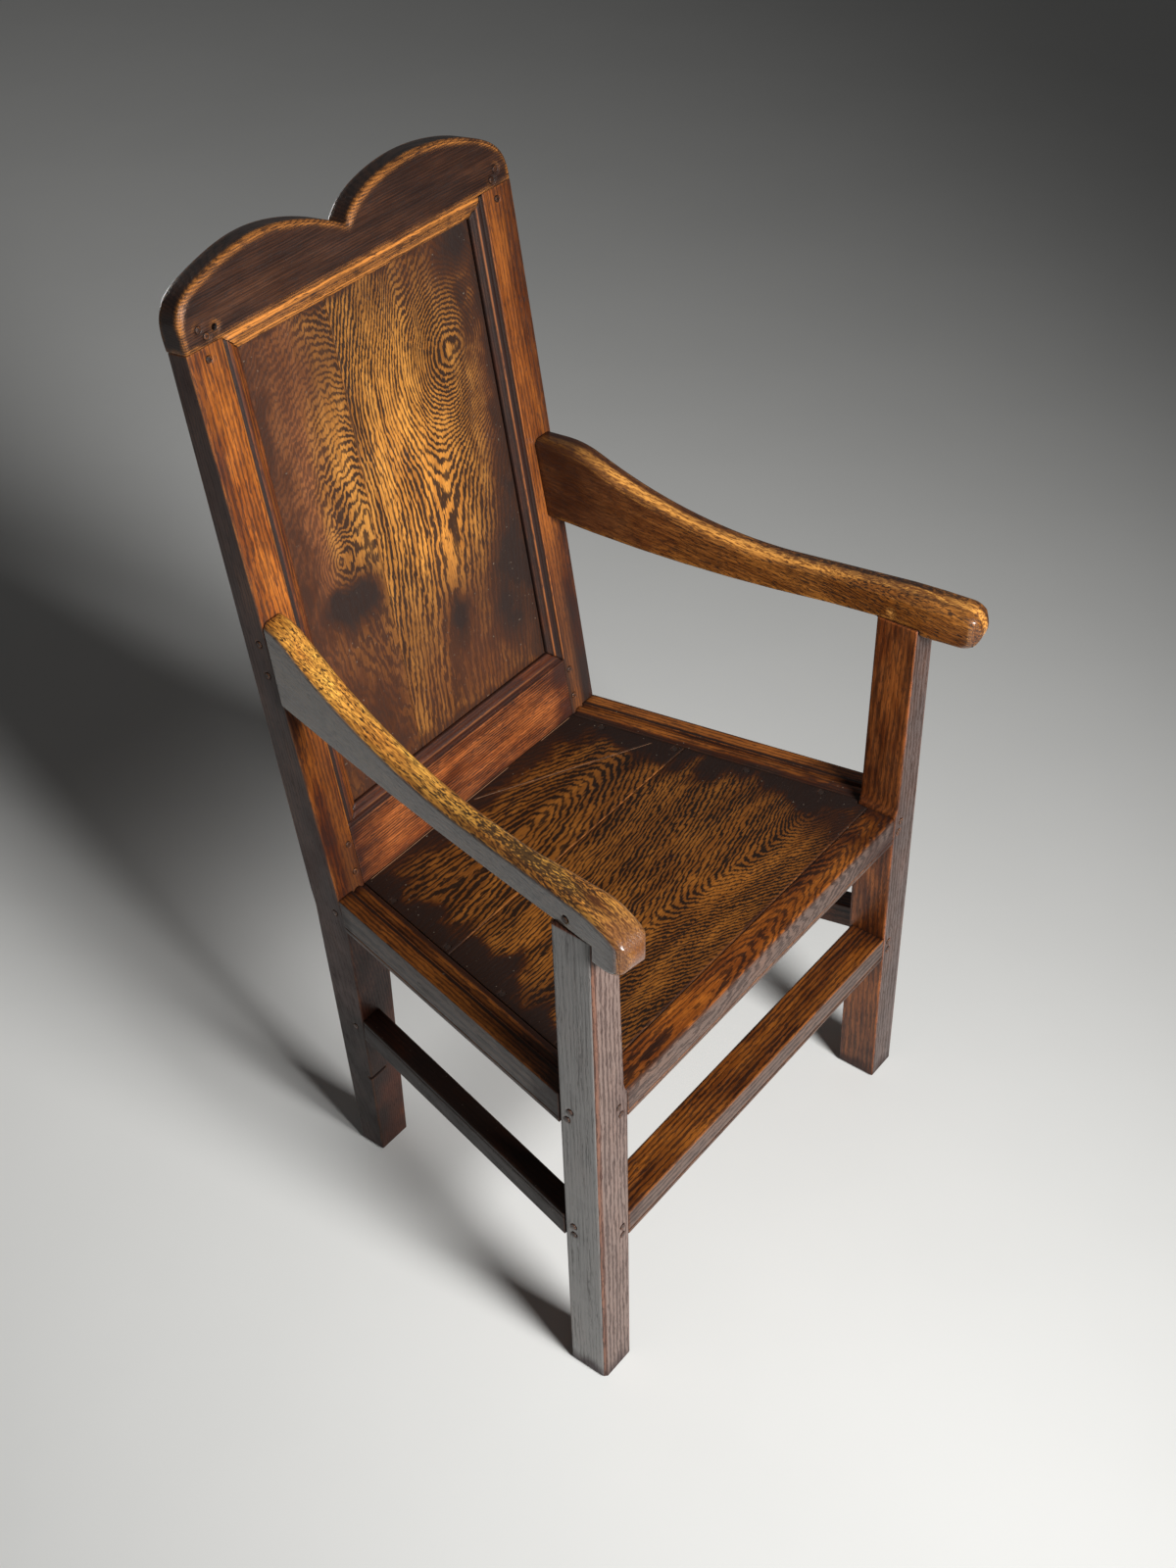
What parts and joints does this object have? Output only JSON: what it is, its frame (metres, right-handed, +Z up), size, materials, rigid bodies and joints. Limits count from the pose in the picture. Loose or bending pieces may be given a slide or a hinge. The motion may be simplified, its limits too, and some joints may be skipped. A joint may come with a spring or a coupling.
{
  "type": "panel back armchair",
  "caption": "Joined oak armchair with a double-arched crest rail, a moulded two-board panel back, swept open arms, a boarded seat and low stretchers, pegged throughout",
  "frame": {"origin": "on the floor, on the chair's centre line, which is within 2 mm of the middle of its bounding box from side to side, and in the middle of the box from front to back", "axes": "+Z up, -Y out of the front of the seat, +X to the sitter's left"},
  "size_m": [0.5971, 0.5953, 1.1199],
  "materials": {
    "oak_posts": "old wax over dark oak",
    "oak_crest": "dark waxed oak with worn edges",
    "oak_back_rail": "dark waxed oak",
    "oak_panel": "waxed oak with strong figure",
    "oak_seat_rails": "old wax over dark oak",
    "oak_seat": "waxed oak, dark at its edges",
    "oak_stretchers": "worn waxed oak",
    "oak_arms": "hand-polished oak",
    "oak_pegs": "riven oak",
    "iron_nails": "dark wrought iron"
  },
  "bodies": {
    "root": {"front_post_left": "oak_posts", "front_post_right": "oak_posts", "rear_post_left": "oak_posts", "rear_post_right": "oak_posts", "crest_rail": "oak_crest", "lower_back_rail": "oak_back_rail", "back_panel_left_board": "oak_panel", "back_panel_right_board": "oak_panel", "front_seat_rail": "oak_seat_rails", "side_seat_rail_left": "oak_seat_rails", "side_seat_rail_right": "oak_seat_rails", "seat_board_front": "oak_seat", "seat_board_rear": "oak_seat", "front_stretcher": "oak_stretchers", "side_stretcher_left": "oak_stretchers", "side_stretcher_right": "oak_stretchers", "arm_left": "oak_arms", "arm_right": "oak_arms", "crest_pegs": "oak_pegs", "back_rail_pegs": "oak_pegs", "seat_rail_pegs": "oak_pegs", "stretcher_pegs": "oak_pegs", "arm_pegs": "oak_pegs", "seat_nails": "iron_nails"}
  },
  "joints": []
}
